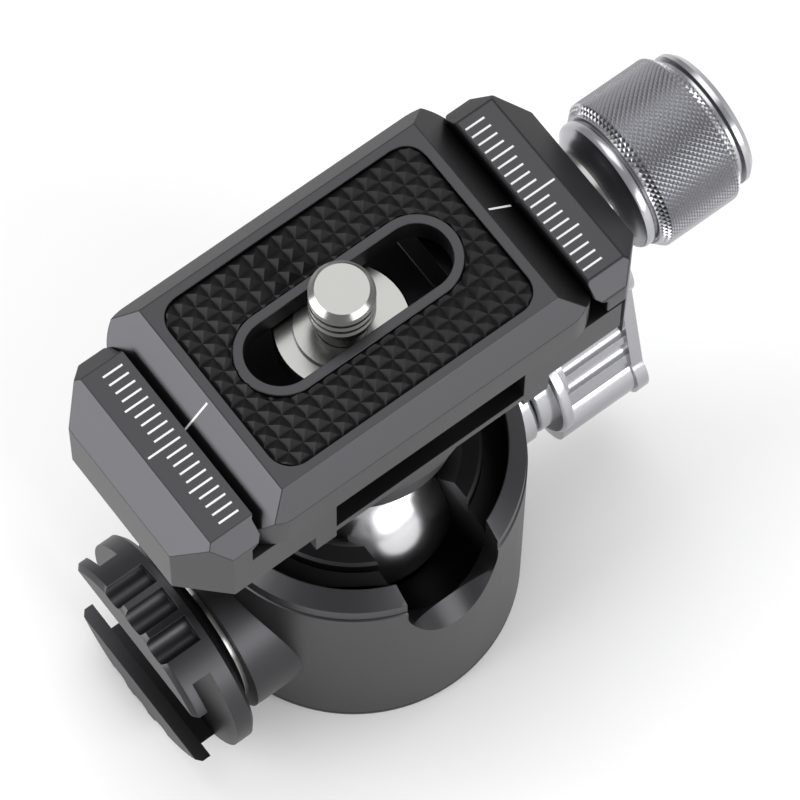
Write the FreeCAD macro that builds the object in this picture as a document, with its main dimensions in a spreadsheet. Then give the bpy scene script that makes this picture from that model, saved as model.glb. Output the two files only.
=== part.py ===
"""Mini tripod ball head with a notched housing, a cold shoe, and a screw clamp with its camera plate.

Millimetres. The origin is the centre of the base's lower face, on the axis of its thread. +Z is up,
+X points to the two knobs, and the notch opens to -Y, which is also the way the plate slides.
"""
import FreeCAD, Part
import Sketcher
import math
import os
import re

doc = FreeCAD.newDocument("ball_head")
sheet = doc.addObject("Spreadsheet::Sheet", "Sizes")

SIZES = {
    # clearances
    "run_gap": 0.05,
    "thread_gap": 0.01,
    "seat_gap": 0.05,
    "loose_gap": 0.4,
    "fine_edge": 0.15,
    "small_edge": 0.3,
    # base that screws to the tripod, with the turning hub
    "base_radius": 17.15,
    "flange_thick": 0.9,
    "hub_radius": 12.0,
    "hub_height": 4.1,
    "spindle_radius": 7.0,
    "bore_radius": 4.7625,
    "bore_depth": 7.4,
    "thrust_thick": 0.6,
    "floor_thick": 2.5,
    "wave_thick": 0.4,
    "nut_radius": 9.4,
    "nut_thick": 0.9,
    "nut_slot_radius": 0.7,
    "nut_slot_depth": 0.9,
    # housing
    "housing_radius": 17.15,
    "housing_height": 27.7,
    "housing_bore": 15.1,
    "collar_height": 3.7,
    "collar_bevel": 1.75,
    "collar_bore": 15.15,
    "collar_line": 0.12,
    "notch_half": 5.5,
    "notch_floor": 20.8,
    "notch_deep": 15.2,
    "scoop_inner": 10.0,
    "boss_radius": 10.1,
    "boss_face": 19.4,
    # ball, its seats and the stem
    "ball_radius": 10.5,
    "ball_height": 20.5,
    "seat_radius": 15.0,
    "seat_split": 19.6,
    "lower_bore": 9.8,
    "lower_seat_bottom": 8.6,
    "upper_seat_top": 29.2,
    "seat_cone": 0.9,
    "seat_mouth": 8.4,
    "retainer_radius": 12.6,
    "retainer_bottom": 27.4,
    "retainer_top": 31.0,
    "retainer_mouth": 10.6,
    "stem_radius": 4.5,
    "stem_foot": 5.0,
    "stem_taper": 13.0,
    "stem_flare": 6.6,
    "stem_neck_top": 39.3,
    "stem_top": 40.5,
    "spigot_radius": 4.0,
    "spigot_height": 4.5,
    # ball lock
    "lock_height": 20.5,
    "lock_screw_radius": 3.0,
    "lock_screw_end": 13.0,
    "face_gap": 0.35,
    "pad_clearance": 0.3,
    "bushing_radius": 6.6,
    "bushing_thick": 1.1,
    "bushing_depth": 1.9,
    "bushing_step": 1.6,
    "bushing_seat": 1.35,
    "shoe_pad_radius": 2.7,
    "shoe_pad_start": 10.0,
    "lock_neck_radius": 6.3,
    "lock_neck_length": 2.0,
    "lock_ring_radius": 7.7,
    "lock_ring_thick": 1.2,
    "lock_groove": 0.5,
    "wing_lobe": 3.9,
    "wing_waist": 3.2,
    "wing_reach": 9.0,
    "wing_length": 9.3,
    "wing_tilt": 12.0,
    "wing_rim": 0.4,
    "lock_end_thick": 1.4,
    "flute_radius": 1.2,
    "flute_step": 3.4,
    "flute_out": 0.45,
    "lock_socket": 4.4,
    "grub_radius": 1.0,
    "grub_bite": 0.6,
    # cold shoe on the other side
    "shoe_height": 12.4,
    "shoe_radius": 12.1,
    "shoe_back": 21.2,
    "shoe_front": 27.0,
    "shoe_lip": 1.5,
    "shoe_slot_depth": 2.1,
    "shoe_slot_half": 9.3,
    "shoe_mouth_half": 6.6,
    "shoe_groove_radius": 1.5,
    "shoe_groove_step": 17.5,
    "shoe_washer_thick": 0.5,
    "shoe_hub_radius": 8.6,
    "shoe_screw_radius": 2.0,
    "shoe_head_radius": 3.6,
    "shoe_screw_inner": 16.4,
    "key_radius": 1.25,
    "key_depth": 1.4,
    # clamp
    "plate_top": 64.6,
    "plate_thick": 7.1,
    "plate_half_long": 15.9,
    "plate_half_wide": 11.1,
    "plate_side_wide": 13.2,
    "plate_bevel_drop": 2.65,
    "dovetail_half": 20.2,
    "plate_offset": 0.7,
    "plate_corner": 4.0,
    "jaw_drop": 1.8,
    "jaw_inner": 19.35,
    "jaw_edge": 23.85,
    "jaw_outer": 27.0,
    "jaw_half": 12.1,
    "jaw_end_bevel": 2.0,
    "jaw_corner": 4.2,
    "body_end_bottom": 52.0,
    "body_bottom": 47.2,
    "body_right": 22.4,
    "block_left": 13.4,
    "web_thick": 1.1,
    "rib_bottom": 48.8,
    "screw_block_half": 9.2,
    "block_right": 14.0,
    "channel_floor": 51.2,
    "channel_half": 11.0,
    "hub_bottom_radius": 10.2,
    "hub_top_radius": 11.8,
    "jaw_plate_bottom": 46.8,
    "jaw_plate_inner": 23.6,
    "flank_gap": 0.1,
    "stem_screw_radius": 2.5,
    "stem_screw_head": 4.25,
    "stem_screw_head_height": 2.6,
    "stem_screw_depth": 9.0,
    "stem_key_radius": 2.0,
    # clamp screw, knob and guides
    "screw_height": 52.7,
    "screw_radius": 2.0,
    "screw_inner": 11.6,
    "pin_radius": 1.25,
    "pin_offset": 7.6,
    "pin_depth": 8.0,
    "pin_cover": 1.4,
    "spring_wire": 0.5,
    "spring_coil": 2.7,
    "spring_turns": 5,
    "spring_bore": 3.3,
    "spring_depth": 5.6,
    "washer_radius": 5.6,
    "washer_thick": 0.8,
    "knob_start": 28.4,
    "knob_lip_radius": 7.0,
    "knob_lip_thick": 0.6,
    "knob_bell": 1.3,
    "knob_waist_radius": 5.9,
    "knurl_start": 31.0,
    "knurl_end": 40.8,
    "knob_radius": 8.15,
    "knob_bevel": 0.9,
    "knob_groove": 0.45,
    "cap_end": 42.55,
    "cap_radius": 7.3,
    "cap_spigot": 5.0,
    "cap_spigot_length": 2.5,
    # camera plate
    "slot_half_long": 11.3,
    "slot_half_wide": 3.45,
    "rim_wide": 1.0,
    "under_half_wide": 7.2,
    "under_half_long": 16.2,
    "under_depth": 3.9,
    "pad_half_long": 14.75,
    "pad_half_wide": 10.05,
    "pad_corner": 2.4,
    "pad_thick": 1.0,
    "pad_sink": 0.9,
    "pad_gap": 0.12,
    "camera_screw_radius": 3.175,
    "camera_screw_rise": 4.6,
    "camera_screw_x": -0.8,
    "camera_neck_radius": 2.5,
    "camera_head_radius": 6.6,
    "camera_head_thick": 2.2,
    "hex_half": 2.0,
    "hex_depth": 1.6,
    "clip_radius": 4.6,
    "clip_thick": 0.5,
}

for row, (word, number) in enumerate(SIZES.items(), start=1):
    sheet.set(f"A{row}", word)
    sheet.set(f"B{row}", str(number))
    sheet.setAlias(f"B{row}", word)
doc.recompute()


def bound(formula):
    """A formula in the sheet's words, written the way an object's expression needs it."""
    return re.sub(r"[a-z][a-z_]+", lambda word: "Sizes." + word.group(0), str(formula))


def bind(item, place, formula):
    item.setExpression(place, bound(formula))


def move(item, x=0, y=0, z=0):
    for axis, formula in zip("xyz", (x, y, z)):
        bind(item, f"Placement.Base.{axis}", formula)
    return item


def turn(item, axis, angle):
    item.Placement = FreeCAD.Placement(FreeCAD.Vector(), FreeCAD.Rotation(FreeCAD.Vector(*axis), angle))
    return item


def along_x(item, y=0, z=0):
    """Lays a turned piece with its axis along +X."""
    return move(turn(item, (0, 1, 0), 90), 0, y, z)


def along_minus_x(item, y=0, z=0):
    """Lays a turned piece with its axis along -X."""
    return move(turn(item, (0, 1, 0), -90), 0, y, z)


def plane_of(body, role):
    for feature in body.Origin.OriginFeatures:
        if feature.Role == role:
            return feature


def sketch_on(body, role, points):
    """A closed outline of straight edges whose corners are bound to the sheet."""
    sketch = body.newObject("Sketcher::SketchObject", "outline")
    sketch.AttachmentSupport = [(plane_of(body, role), "")]
    sketch.MapMode = "FlatFace"
    guess = [tuple(number_of(formula) for formula in point) for point in points]
    for index, (x, y) in enumerate(guess):
        x_next, y_next = guess[(index + 1) % len(guess)]
        edge = Part.LineSegment(FreeCAD.Vector(x, y, 0), FreeCAD.Vector(x_next, y_next, 0))
        sketch.addGeometry(edge, False)
    for index in range(len(guess)):
        following = (index + 1) % len(guess)
        sketch.addConstraint(Sketcher.Constraint("Coincident", index, 2, following, 1))
    for index, (point, (x, y)) in enumerate(zip(points, guess)):
        for kind, formula, value in (("DistanceX", point[0], x), ("DistanceY", point[1], y)):
            number = sketch.addConstraint(Sketcher.Constraint(kind, -1, 1, index, 1, value))
            sketch.renameConstraint(number, f"{kind}{index}")
            bind(sketch, f"Constraints.{kind}{index}", formula)
    return sketch


def number_of(formula):
    """The present value of a formula in the sheet's words, worked out in a spare cell."""
    sheet.set("D1", f"={formula}")
    sheet.recompute()
    return float(sheet.get("D1"))


def turned(label, points):
    """A piece turned about its Z axis, from an outline of (radius, height) corners."""
    body = doc.addObject("PartDesign::Body", label)
    sketch = sketch_on(body, "XZ_Plane", points)
    spin = body.newObject("PartDesign::Revolution", "turning")
    spin.Profile = sketch
    spin.ReferenceAxis = (sketch, ["V_Axis"])
    spin.Angle = 360
    body.Label = label
    return body


def padded(label, points, low, height):
    """A plate with an outline in plan, from a lower face to a height above it."""
    body = doc.addObject("PartDesign::Body", label)
    sketch = sketch_on(body, "XY_Plane", points)
    pad = body.newObject("PartDesign::Pad", "pad")
    pad.Profile = sketch
    bind(pad, "Length", height)
    body.Label = label
    return move(body, 0, 0, low)


def section(label, points, low, height):
    """A bar with an outline of (x, z) corners, run along Y from low for its length."""
    body = doc.addObject("PartDesign::Body", label)
    sketch = sketch_on(body, "XZ_Plane", points)
    pad = body.newObject("PartDesign::Pad", "pad")
    pad.Profile = sketch
    pad.Reversed = True
    bind(pad, "Length", height)
    body.Label = label
    return move(body, 0, low, 0)


def rod(radius, low, height):
    item = doc.addObject("Part::Cylinder", "rod")
    bind(item, "Radius", radius)
    bind(item, "Height", height)
    return move(item, 0, 0, low)


def rod_x(radius, low, height, y=0, z=0):
    item = doc.addObject("Part::Cylinder", "rod")
    bind(item, "Radius", radius)
    bind(item, "Height", height)
    return move(turn(item, (0, 1, 0), 90), low, y, z)


def rod_y(radius, low, height, x=0, z=0):
    item = doc.addObject("Part::Cylinder", "rod")
    bind(item, "Radius", radius)
    bind(item, "Height", height)
    return move(turn(item, (1, 0, 0), -90), x, low, z)


def block(x, y, z, length, width, height):
    item = doc.addObject("Part::Box", "block")
    bind(item, "Length", length)
    bind(item, "Width", width)
    bind(item, "Height", height)
    return move(item, x, y, z)


def sphere(radius, z):
    item = doc.addObject("Part::Sphere", "sphere")
    bind(item, "Radius", radius)
    return move(item, 0, 0, z)


def cut(label, base, *tools):
    """The base less its tools, as one piece with the given name."""
    tool = tools[0] if len(tools) == 1 else fuse(label + "_tools", *tools)
    item = doc.addObject("Part::Cut", label)
    item.Base = base
    item.Tool = tool
    return item


def fuse(label, *items):
    item = doc.addObject("Part::MultiFuse", label)
    item.Shapes = list(items)
    return item


def common(label, *items):
    item = doc.addObject("Part::MultiCommon", label)
    item.Shapes = list(items)
    return item


def value(word):
    return float(sheet.get(word))


PARTS = []


def piece(label, item):
    item.Label = label
    PARTS.append((label, item))
    return item


def rounded(label, long, wide, rounding, low, height):
    """An upright block with half lengths along X and Y and round corners in plan."""
    lengthwise = block(f"-({long})", f"-({wide}) + ({rounding})", low, f"2 * ({long})",
                       f"2 * (({wide}) - ({rounding}))", height)
    crosswise = block(f"-({long}) + ({rounding})", f"-({wide})", low, f"2 * (({long}) - ({rounding}))",
                      f"2 * ({wide})", height)
    corners = [move(rod(rounding, low, height), f"{a} * (({long}) - ({rounding}))",
                    f"{b} * (({wide}) - ({rounding}))", low) for a in (-1, 1) for b in (-1, 1)]
    return fuse(label, lengthwise, crosswise, *corners)


def stadium(low, height, half_long, half_wide, x=0, y=0):
    """An upright slot shape with round ends, long along X."""
    middle = block(f"{x} - ({half_long}) + ({half_wide})", f"{y} - ({half_wide})", low,
                   f"2 * (({half_long}) - ({half_wide}))", f"2 * ({half_wide})", height)
    left = move(rod(half_wide, low, height), f"{x} - ({half_long}) + ({half_wide})", y, low)
    right = move(rod(half_wide, low, height), f"{x} + ({half_long}) - ({half_wide})", y, low)
    return fuse("stadium", middle, left, right)


# Heights that several pieces share, as formulas of the sheet

HUB_TOP = "(flange_thick + hub_height)"
HOUSING_LOW = "(flange_thick + run_gap)"
THRUST_LOW = f"({HUB_TOP} + run_gap)"
FLOOR_LOW = f"({THRUST_LOW} + thrust_thick + run_gap)"
FLOOR_TOP = f"({FLOOR_LOW} + floor_thick)"
WAVE_LOW = f"({FLOOR_TOP} + run_gap)"
NUT_LOW = f"({WAVE_LOW} + wave_thick + run_gap)"
SPINDLE_TOP = f"({NUT_LOW} + nut_thick)"
COLLAR_TOP = "(housing_height + collar_height)"
PLATE_LOW = "(plate_top - plate_thick)"
JAW_TOP = "(plate_top - jaw_drop)"
FLANK = "(dovetail_half - plate_half_long)"
ROOT_TWO = "1.41421356"
COS_THIRTY = "0.8660254"


def notch(label, bottom):
    """The upright slot that the stem drops into: a round bottom and open above, towards -Y."""
    centre = f"({bottom} + notch_half)"
    round_bottom = rod_y("notch_half", "-housing_radius - 1", "housing_radius + 1", 0, centre)
    sides = block("-notch_half", "-housing_radius - 1", centre,
                  "2 * notch_half", "housing_radius + 1", f"{COLLAR_TOP} + 1 - {centre}")
    return fuse(label, round_bottom, sides)


# Base, thrust washer, wave washer and nut

base_blank = turned("base_blank", [
    (0, 0), ("base_radius - small_edge", 0), ("base_radius", "small_edge"), ("base_radius", "flange_thick"),
    ("hub_radius", "flange_thick"), ("hub_radius", HUB_TOP), ("spindle_radius", HUB_TOP),
    ("spindle_radius", SPINDLE_TOP), (0, SPINDLE_TOP)])
piece("base", cut("base", base_blank, rod("bore_radius", -1, "bore_depth + 1")))

piece("thrust_washer", turned("thrust_washer", [
    ("spindle_radius + run_gap", THRUST_LOW), ("hub_radius - run_gap", THRUST_LOW),
    ("hub_radius - run_gap", f"{THRUST_LOW} + thrust_thick"),
    ("spindle_radius + run_gap", f"{THRUST_LOW} + thrust_thick")]))

piece("wave_washer", turned("wave_washer", [
    ("spindle_radius + run_gap", WAVE_LOW), ("nut_radius - run_gap", WAVE_LOW),
    ("nut_radius - run_gap", f"{WAVE_LOW} + wave_thick"),
    ("spindle_radius + run_gap", f"{WAVE_LOW} + wave_thick")]))

nut_blank = turned("nut_blank", [
    ("spindle_radius + thread_gap", NUT_LOW), ("nut_radius", NUT_LOW), ("nut_radius", SPINDLE_TOP),
    ("spindle_radius + thread_gap", SPINDLE_TOP)])
nut_slots = [rod_y("nut_slot_radius", "-nut_radius - 1", "nut_slot_depth + 1", 0, SPINDLE_TOP),
             rod_y("nut_slot_radius", "nut_radius - nut_slot_depth", "nut_slot_depth + 1", 0, SPINDLE_TOP)]
piece("pan_nut", cut("pan_nut", nut_blank, *nut_slots))

# Housing with its shoe boss, its floor over the hub and the notch

housing_shell = turned("housing_shell", [
    ("hub_radius + run_gap", HOUSING_LOW), ("housing_radius", HOUSING_LOW),
    ("housing_radius", "housing_height - fine_edge"), ("housing_radius - fine_edge", "housing_height"),
    ("housing_bore", "housing_height"), ("housing_bore", FLOOR_TOP),
    ("spindle_radius + run_gap", FLOOR_TOP), ("spindle_radius + run_gap", FLOOR_LOW),
    ("hub_radius + run_gap", FLOOR_LOW)])
shoe_boss = rod_x("boss_radius", "-boss_face", "boss_face", 0, "shoe_height")
boss_core = common("boss_core", shoe_boss, turned("boss_limit", [
    ("housing_bore", HOUSING_LOW), ("housing_radius + 8", HOUSING_LOW),
    ("housing_radius + 8", "housing_height"), ("housing_bore", "housing_height")]))
scoop = turned("scoop", [
    (0, "-1"), ("notch_half", "-1"), ("notch_half", "housing_radius"), (0, "housing_radius")])
move(turn(scoop, (1, 0, 0), 135), 0,
     "-housing_bore", f"notch_floor + notch_half * {ROOT_TWO}")
scoop_limit = block("-notch_half", "-housing_radius - 1", 0,
                    "2 * notch_half", "housing_radius + 1 - scoop_inner", f"{COLLAR_TOP} + 1")
shoe_screw_hole = rod_x("shoe_screw_radius + thread_gap", "-boss_face - 1",
                        "boss_face + 1 - shoe_screw_inner",
                        0, "shoe_height")
lock_hole = rod_x("lock_screw_radius + loose_gap", "housing_bore - 1", 5, 0, "lock_height")
bushing_hole = rod_x("bushing_radius - bushing_step + seat_gap", "housing_radius - bushing_depth", 4, 0,
                     "lock_height")
bushing_spot = rod_x("bushing_radius + seat_gap", "housing_radius - bushing_seat", 4, 0, "lock_height")
piece("housing", cut("housing", fuse("housing_blank", housing_shell, boss_core),
                     notch("housing_notch", "notch_floor"), common("scoop_cut", scoop, scoop_limit),
                     shoe_screw_hole, lock_hole, bushing_hole, bushing_spot))

# Collar on top of the housing, with the bevel and the notch

collar_low = "(housing_height + collar_line)"
collar_blank = turned("collar_blank", [
    ("collar_bore", collar_low), ("housing_radius - fine_edge", collar_low),
    ("housing_radius - fine_edge", f"{COLLAR_TOP} - collar_bevel"),
    ("housing_radius - fine_edge - collar_bevel", COLLAR_TOP), ("collar_bore", COLLAR_TOP)])
piece("collar", cut("collar", collar_blank, notch("collar_notch", "notch_floor")))

# Seats above and below the ball, and the ring that keeps the upper one

ball_socket = "ball_radius + run_gap"
upper_blank = turned("upper_blank", [
    ("seat_mouth", "seat_split + seat_gap"), ("seat_radius", "seat_split + seat_gap"),
    ("seat_radius", "upper_seat_top - seat_cone"), ("retainer_radius + seat_gap", "upper_seat_top"),
    ("retainer_radius + seat_gap", "retainer_bottom - seat_gap"),
    ("seat_mouth", "retainer_bottom - seat_gap")])

lower_blank = turned("lower_blank", [
    ("lower_bore", "lower_seat_bottom"), ("seat_radius", "lower_seat_bottom"),
    ("seat_radius", "seat_split"), ("lower_bore", "seat_split")])
pad_window = rod_x("shoe_pad_radius + run_gap", 0, "seat_radius + 1", 0, "lock_height")
screw_window = rod_x("lock_screw_radius + run_gap", "lock_screw_end - 0.6", 6, 0, "lock_height")
piece("upper_seat", cut("upper_seat", upper_blank, sphere(ball_socket, "ball_height"),
                        notch("upper_notch", "notch_deep"), pad_window, screw_window))
piece("lower_seat", cut("lower_seat", lower_blank, sphere(ball_socket, "ball_height"),
                        notch("lower_notch", "notch_deep"), pad_window, screw_window))

retainer_blank = turned("retainer_blank", [
    ("seat_mouth + small_edge", "retainer_bottom"), ("retainer_radius", "retainer_bottom"),
    ("retainer_radius", "retainer_top - small_edge"), ("retainer_radius - small_edge", "retainer_top"),
    ("retainer_mouth", "retainer_top")])
piece("seat_ring", cut("seat_ring", retainer_blank, notch("retainer_notch", "notch_deep")))

# Ball and stem

piece("ball", sphere("ball_radius", "ball_height"))

stem_blank = turned("stem_blank", [
    (0, "ball_height + stem_foot"), ("stem_radius + small_edge", "ball_height + stem_foot"),
    ("stem_radius", "ball_height + stem_taper"), ("stem_radius", "stem_neck_top"),
    ("stem_radius + 2 * small_edge", "stem_neck_top + 2 * small_edge"),
    ("stem_flare", "stem_top - small_edge"), ("stem_flare", "stem_top"),
    ("spigot_radius", "stem_top"), ("spigot_radius", "stem_top + spigot_height"),
    (0, "stem_top + spigot_height")])
stem_thread = rod("stem_screw_radius + thread_gap", "stem_top + spigot_height - stem_screw_depth",
                  "stem_screw_depth + 1")
piece("stem", cut("stem", stem_blank, sphere("ball_radius + run_gap", "ball_height"), stem_thread))

# Ball lock: bushing, screw, pad that presses the ball, knob and its grub screw

BUSHING_FACE = "(housing_radius + bushing_thick)"
bushing_blank = turned("bushing_blank", [
    ("lock_screw_radius + run_gap", "housing_radius - bushing_depth"),
    ("bushing_radius - bushing_step", "housing_radius - bushing_depth"),
    ("bushing_radius - bushing_step", "housing_radius - bushing_seat"), ("bushing_radius",
                                                                         "housing_radius - bushing_seat"),
    ("bushing_radius", f"{BUSHING_FACE} - small_edge"), ("bushing_radius - small_edge", BUSHING_FACE),
    ("lock_screw_radius + run_gap", BUSHING_FACE)])
piece("lock_bushing", along_x(bushing_blank, 0, "lock_height"))

piece("lock_pad", cut("lock_pad", rod_x("shoe_pad_radius", "shoe_pad_start",
                                        "lock_screw_end - face_gap - shoe_pad_start", 0, "lock_height"),
                      sphere("ball_radius + pad_clearance", "ball_height")))

KNOB_FACE = f"({BUSHING_FACE} + face_gap)"
NECK_END = f"({KNOB_FACE} + lock_neck_length)"
RING_END = f"({NECK_END} + lock_ring_thick)"
WING_START = f"({RING_END} + lock_groove)"
WING_END = f"({WING_START} + wing_length)"
knob_blank = along_x(turned("lock_blank", [
    (0, KNOB_FACE), ("lock_neck_radius - small_edge", KNOB_FACE),
    ("lock_neck_radius", f"{KNOB_FACE} + small_edge"), ("lock_neck_radius", NECK_END),
    ("lock_ring_radius - small_edge", NECK_END), ("lock_ring_radius", f"{NECK_END} + small_edge"),
    ("lock_ring_radius", RING_END), ("wing_lobe + 1", RING_END), ("wing_lobe + 1", f"{WING_START} + 1"),
    (0, f"{WING_START} + 1")]), 0, "lock_height")


def wing(label, low, length, grow):
    """Bar along X with two round lobes and a straight waist, as a wing knob has."""
    waist = block(low, f"-wing_waist - {grow}", "-wing_reach", length, f"2 * (wing_waist + {grow})",
                  "2 * wing_reach")
    lobes = [rod_x(f"wing_lobe + {grow}", low, length, 0, f"{side} * wing_reach") for side in (-1, 1)]
    return fuse(label, waist, *lobes)


flutes = [rod_x("flute_radius", f"{WING_START} - 1", "wing_length + 1",
                f"{side} * (wing_waist + flute_out)", f"{step} * flute_step")
          for side in (-1, 1) for step in (-1, 0, 1)]
wing_body = cut("wing_body", wing("wing_bar", WING_START, "wing_length + small_edge", "0"), *flutes)
wing_end = wing("wing_end", WING_END, "lock_end_thick", "wing_rim")
wings = fuse("wings", wing_body, wing_end)
move(turn(wings, (1, 0, 0), -value("wing_tilt")), 0, 0, "lock_height")
lock_socket = rod_x("lock_screw_radius + thread_gap", f"{KNOB_FACE} - 1", "lock_socket + 1", 0,
                    "lock_height")
grub_hole = move(rod("grub_radius + thread_gap", "lock_height", "lock_neck_radius + 1"),
                 f"{KNOB_FACE} + lock_neck_length / 2", 0, "lock_height + lock_screw_radius - grub_bite")
piece("lock_knob", cut("lock_knob", fuse("knob_and_wings", knob_blank, wings), lock_socket, grub_hole))
grub_flat = move(rod("grub_radius + thread_gap", "lock_height", 3),
                 f"{KNOB_FACE} + lock_neck_length / 2", 0, "lock_height + lock_screw_radius - grub_bite")
piece("lock_screw", cut("lock_screw", rod_x("lock_screw_radius", "lock_screw_end",
                                            f"{KNOB_FACE} + lock_socket - lock_screw_end",
                                            0, "lock_height"), grub_flat))
piece("lock_grub", move(rod("grub_radius", "lock_height",
                            "lock_neck_radius - lock_screw_radius + loose_gap"),
                        f"{KNOB_FACE} + lock_neck_length / 2", 0,
                        "lock_height + lock_screw_radius - grub_bite + 2 * thread_gap"))

# Cold shoe: disc with its channel, friction washer and screw

SHOE_FLOOR = "(shoe_front - shoe_lip - shoe_slot_depth)"
shoe_blank = along_minus_x(turned("shoe_blank", [
    (0, "boss_face + shoe_washer_thick + 2 * run_gap"),
    ("shoe_hub_radius", "boss_face + shoe_washer_thick + 2 * run_gap"),
    ("shoe_hub_radius + 1.0", "shoe_back - 0.5"), ("shoe_radius - 0.6", "shoe_back - 0.1"),
    ("shoe_radius", "shoe_back + 0.4"), ("shoe_radius", "shoe_front - 0.5"),
    ("shoe_radius - 0.5", "shoe_front"), (0, "shoe_front")]), 0, "shoe_height")
shoe_slot = block(f"-({SHOE_FLOOR}) - shoe_slot_depth", "-shoe_radius - 1",
                  "shoe_height - shoe_slot_half",
                  "shoe_slot_depth", "2 * shoe_radius + 2", "2 * shoe_slot_half")
shoe_mouth = block("-shoe_front - 1", "-shoe_radius - 1", "shoe_height - shoe_mouth_half",
                   "shoe_lip + 1.01", "2 * shoe_radius + 2", "2 * shoe_mouth_half")
grooves = []
for side in (-1, 1):
    for step in (-1, 0, 1):
        lean = math.radians(90 * side + value("shoe_groove_step") * step)
        grooves.append(rod_x("shoe_groove_radius", "-shoe_front - 1", "shoe_front - shoe_back - 0.2",
                             f"(shoe_radius + small_edge) * ({math.cos(lean):.8f})",
                             f"shoe_height + (shoe_radius + small_edge) * ({math.sin(lean):.8f})"))
HEAD_LONG = "(shoe_head_radius - shoe_screw_radius)"
shoe_hole = rod_x("shoe_screw_radius + run_gap", f"-({SHOE_FLOOR}) - 1", 8, 0, "shoe_height")
shoe_sink = along_minus_x(turned("shoe_sink", [
    (0, f"{SHOE_FLOOR} - {HEAD_LONG} - run_gap"),
    ("shoe_screw_radius + run_gap", f"{SHOE_FLOOR} - {HEAD_LONG} - run_gap"),
    ("shoe_head_radius + run_gap", f"{SHOE_FLOOR} - run_gap"), ("shoe_head_radius + run_gap",
                                                                f"{SHOE_FLOOR} + 1"),
    (0, f"{SHOE_FLOOR} + 1")]), 0, "shoe_height")
piece("cold_shoe", cut("cold_shoe", shoe_blank, shoe_slot, shoe_mouth, shoe_hole, shoe_sink, *grooves))

piece("shoe_washer", along_minus_x(turned("shoe_washer", [
    ("shoe_screw_radius + run_gap", "boss_face + run_gap"), ("shoe_hub_radius", "boss_face + run_gap"),
    ("shoe_hub_radius", "boss_face + run_gap + shoe_washer_thick"),
    ("shoe_screw_radius + run_gap", "boss_face + run_gap + shoe_washer_thick")]), 0, "shoe_height"))

piece("shoe_screw", cut("shoe_screw", along_minus_x(turned("shoe_screw_blank", [
    (0, "shoe_screw_inner + small_edge"), ("shoe_screw_radius", "shoe_screw_inner + small_edge"),
    ("shoe_screw_radius", f"{SHOE_FLOOR} - {HEAD_LONG}"), ("shoe_head_radius", f"{SHOE_FLOOR}"),
    (0, f"{SHOE_FLOOR}")]), 0, "shoe_height"),
    rod_x("key_radius", f"-({SHOE_FLOOR}) - 1", "key_depth + 1", 0, "shoe_height")))

# Clamp body with the fixed jaw, the channel and the round hub underneath


def jaw_section(label, side, foot):
    """One jaw across the plate: the flank that grips the plate, the scale face and the outer bevel."""
    grip_low = "(dovetail_half + flank_gap + small_edge)"
    grip_top = "(plate_half_long + jaw_drop + flank_gap * " + ROOT_TWO + ")"
    corners = [(grip_low, foot), ("jaw_outer", foot),
               ("jaw_outer", f"{JAW_TOP} - (jaw_outer - jaw_edge)"), ("jaw_edge", JAW_TOP),
               ("jaw_inner + small_edge", JAW_TOP), ("jaw_inner", f"{JAW_TOP} - small_edge"),
               ("jaw_inner", f"{JAW_TOP} - (jaw_inner - {grip_top})"),
               (grip_low, f"{JAW_TOP} - ({grip_low} - {grip_top})")]
    points = [(f"{side} * {x}", z) for x, z in corners]
    return section(label, points, "-jaw_half", "2 * jaw_half")


def plan(label, low, height, left, right):
    """Plan outline of the clamp with its four bevelled corners, as a block to keep within."""
    return padded(label, [
        (f"-({left}) + jaw_corner", "-jaw_half"), (f"{right} - jaw_corner", "-jaw_half"),
        (right, "-jaw_half + jaw_corner"), (right, "jaw_half - jaw_corner"),
        (f"{right} - jaw_corner", "jaw_half"), (f"-({left}) + jaw_corner", "jaw_half"),
        (f"-({left})", "jaw_half - jaw_corner"), (f"-({left})", "-jaw_half + jaw_corner")], low, height)


def end_bevel(label, low, high):
    """Block with its long top edges along X bevelled, to trim the ends of a jaw."""
    body = doc.addObject("PartDesign::Body", label)
    sketch = sketch_on(body, "YZ_Plane", [
        ("-jaw_half", low), ("jaw_half", low), ("jaw_half", f"{high} - jaw_end_bevel"),
        ("jaw_half - jaw_end_bevel", high), ("-jaw_half + jaw_end_bevel", high),
        ("-jaw_half", f"{high} - jaw_end_bevel")])
    pad = body.newObject("PartDesign::Pad", "pad")
    pad.Profile = sketch
    pad.Midplane = True
    bind(pad, "Length", "2 * jaw_outer + 2")
    return body


FLOOR = f"({PLATE_LOW} - seat_gap)"
slab = block("-jaw_outer", "-jaw_half", "body_end_bottom", "jaw_outer + body_right",
             "2 * jaw_half", f"{FLOOR} - body_end_bottom")
web = block("-channel_half - 1", "-jaw_half", "channel_floor - web_thick", "2 * channel_half + 2",
            "2 * jaw_half", f"{FLOOR} - channel_floor + web_thick")
ribs = [section(label, [(f"{side} * channel_half", "body_end_bottom + 0.5"),
                        (f"{side} * {outer}", "body_end_bottom + 0.5"),
                        (f"{side} * {outer}", "rib_bottom"), (f"{side} * channel_half", "rib_bottom")],
                "-jaw_half", "2 * jaw_half")
        for label, side, outer in (("left_rib", "-1", "block_left"), ("right_rib", "1", "block_right"))]
right_block = block("block_right - 1", "-screw_block_half", "rib_bottom", "body_right - block_right + 1",
                    "2 * screw_block_half", "body_end_bottom + 0.5 - rib_bottom")
hub = turned("hub", [
    (0, "stem_top + thread_gap"), ("hub_bottom_radius", "stem_top + thread_gap"),
    ("hub_bottom_radius + 0.25", "stem_top + 0.3"),
    ("hub_top_radius - 1.4", "body_bottom - 1.5"), ("hub_top_radius", "body_bottom"),
    ("hub_top_radius", "channel_floor - fine_edge"), (0, "channel_floor - fine_edge")])
fixed_jaw = jaw_section("fixed_jaw", "-1", "body_end_bottom")
body_blank = fuse("body_blank", slab, web, *ribs, right_block, fixed_jaw)
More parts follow.
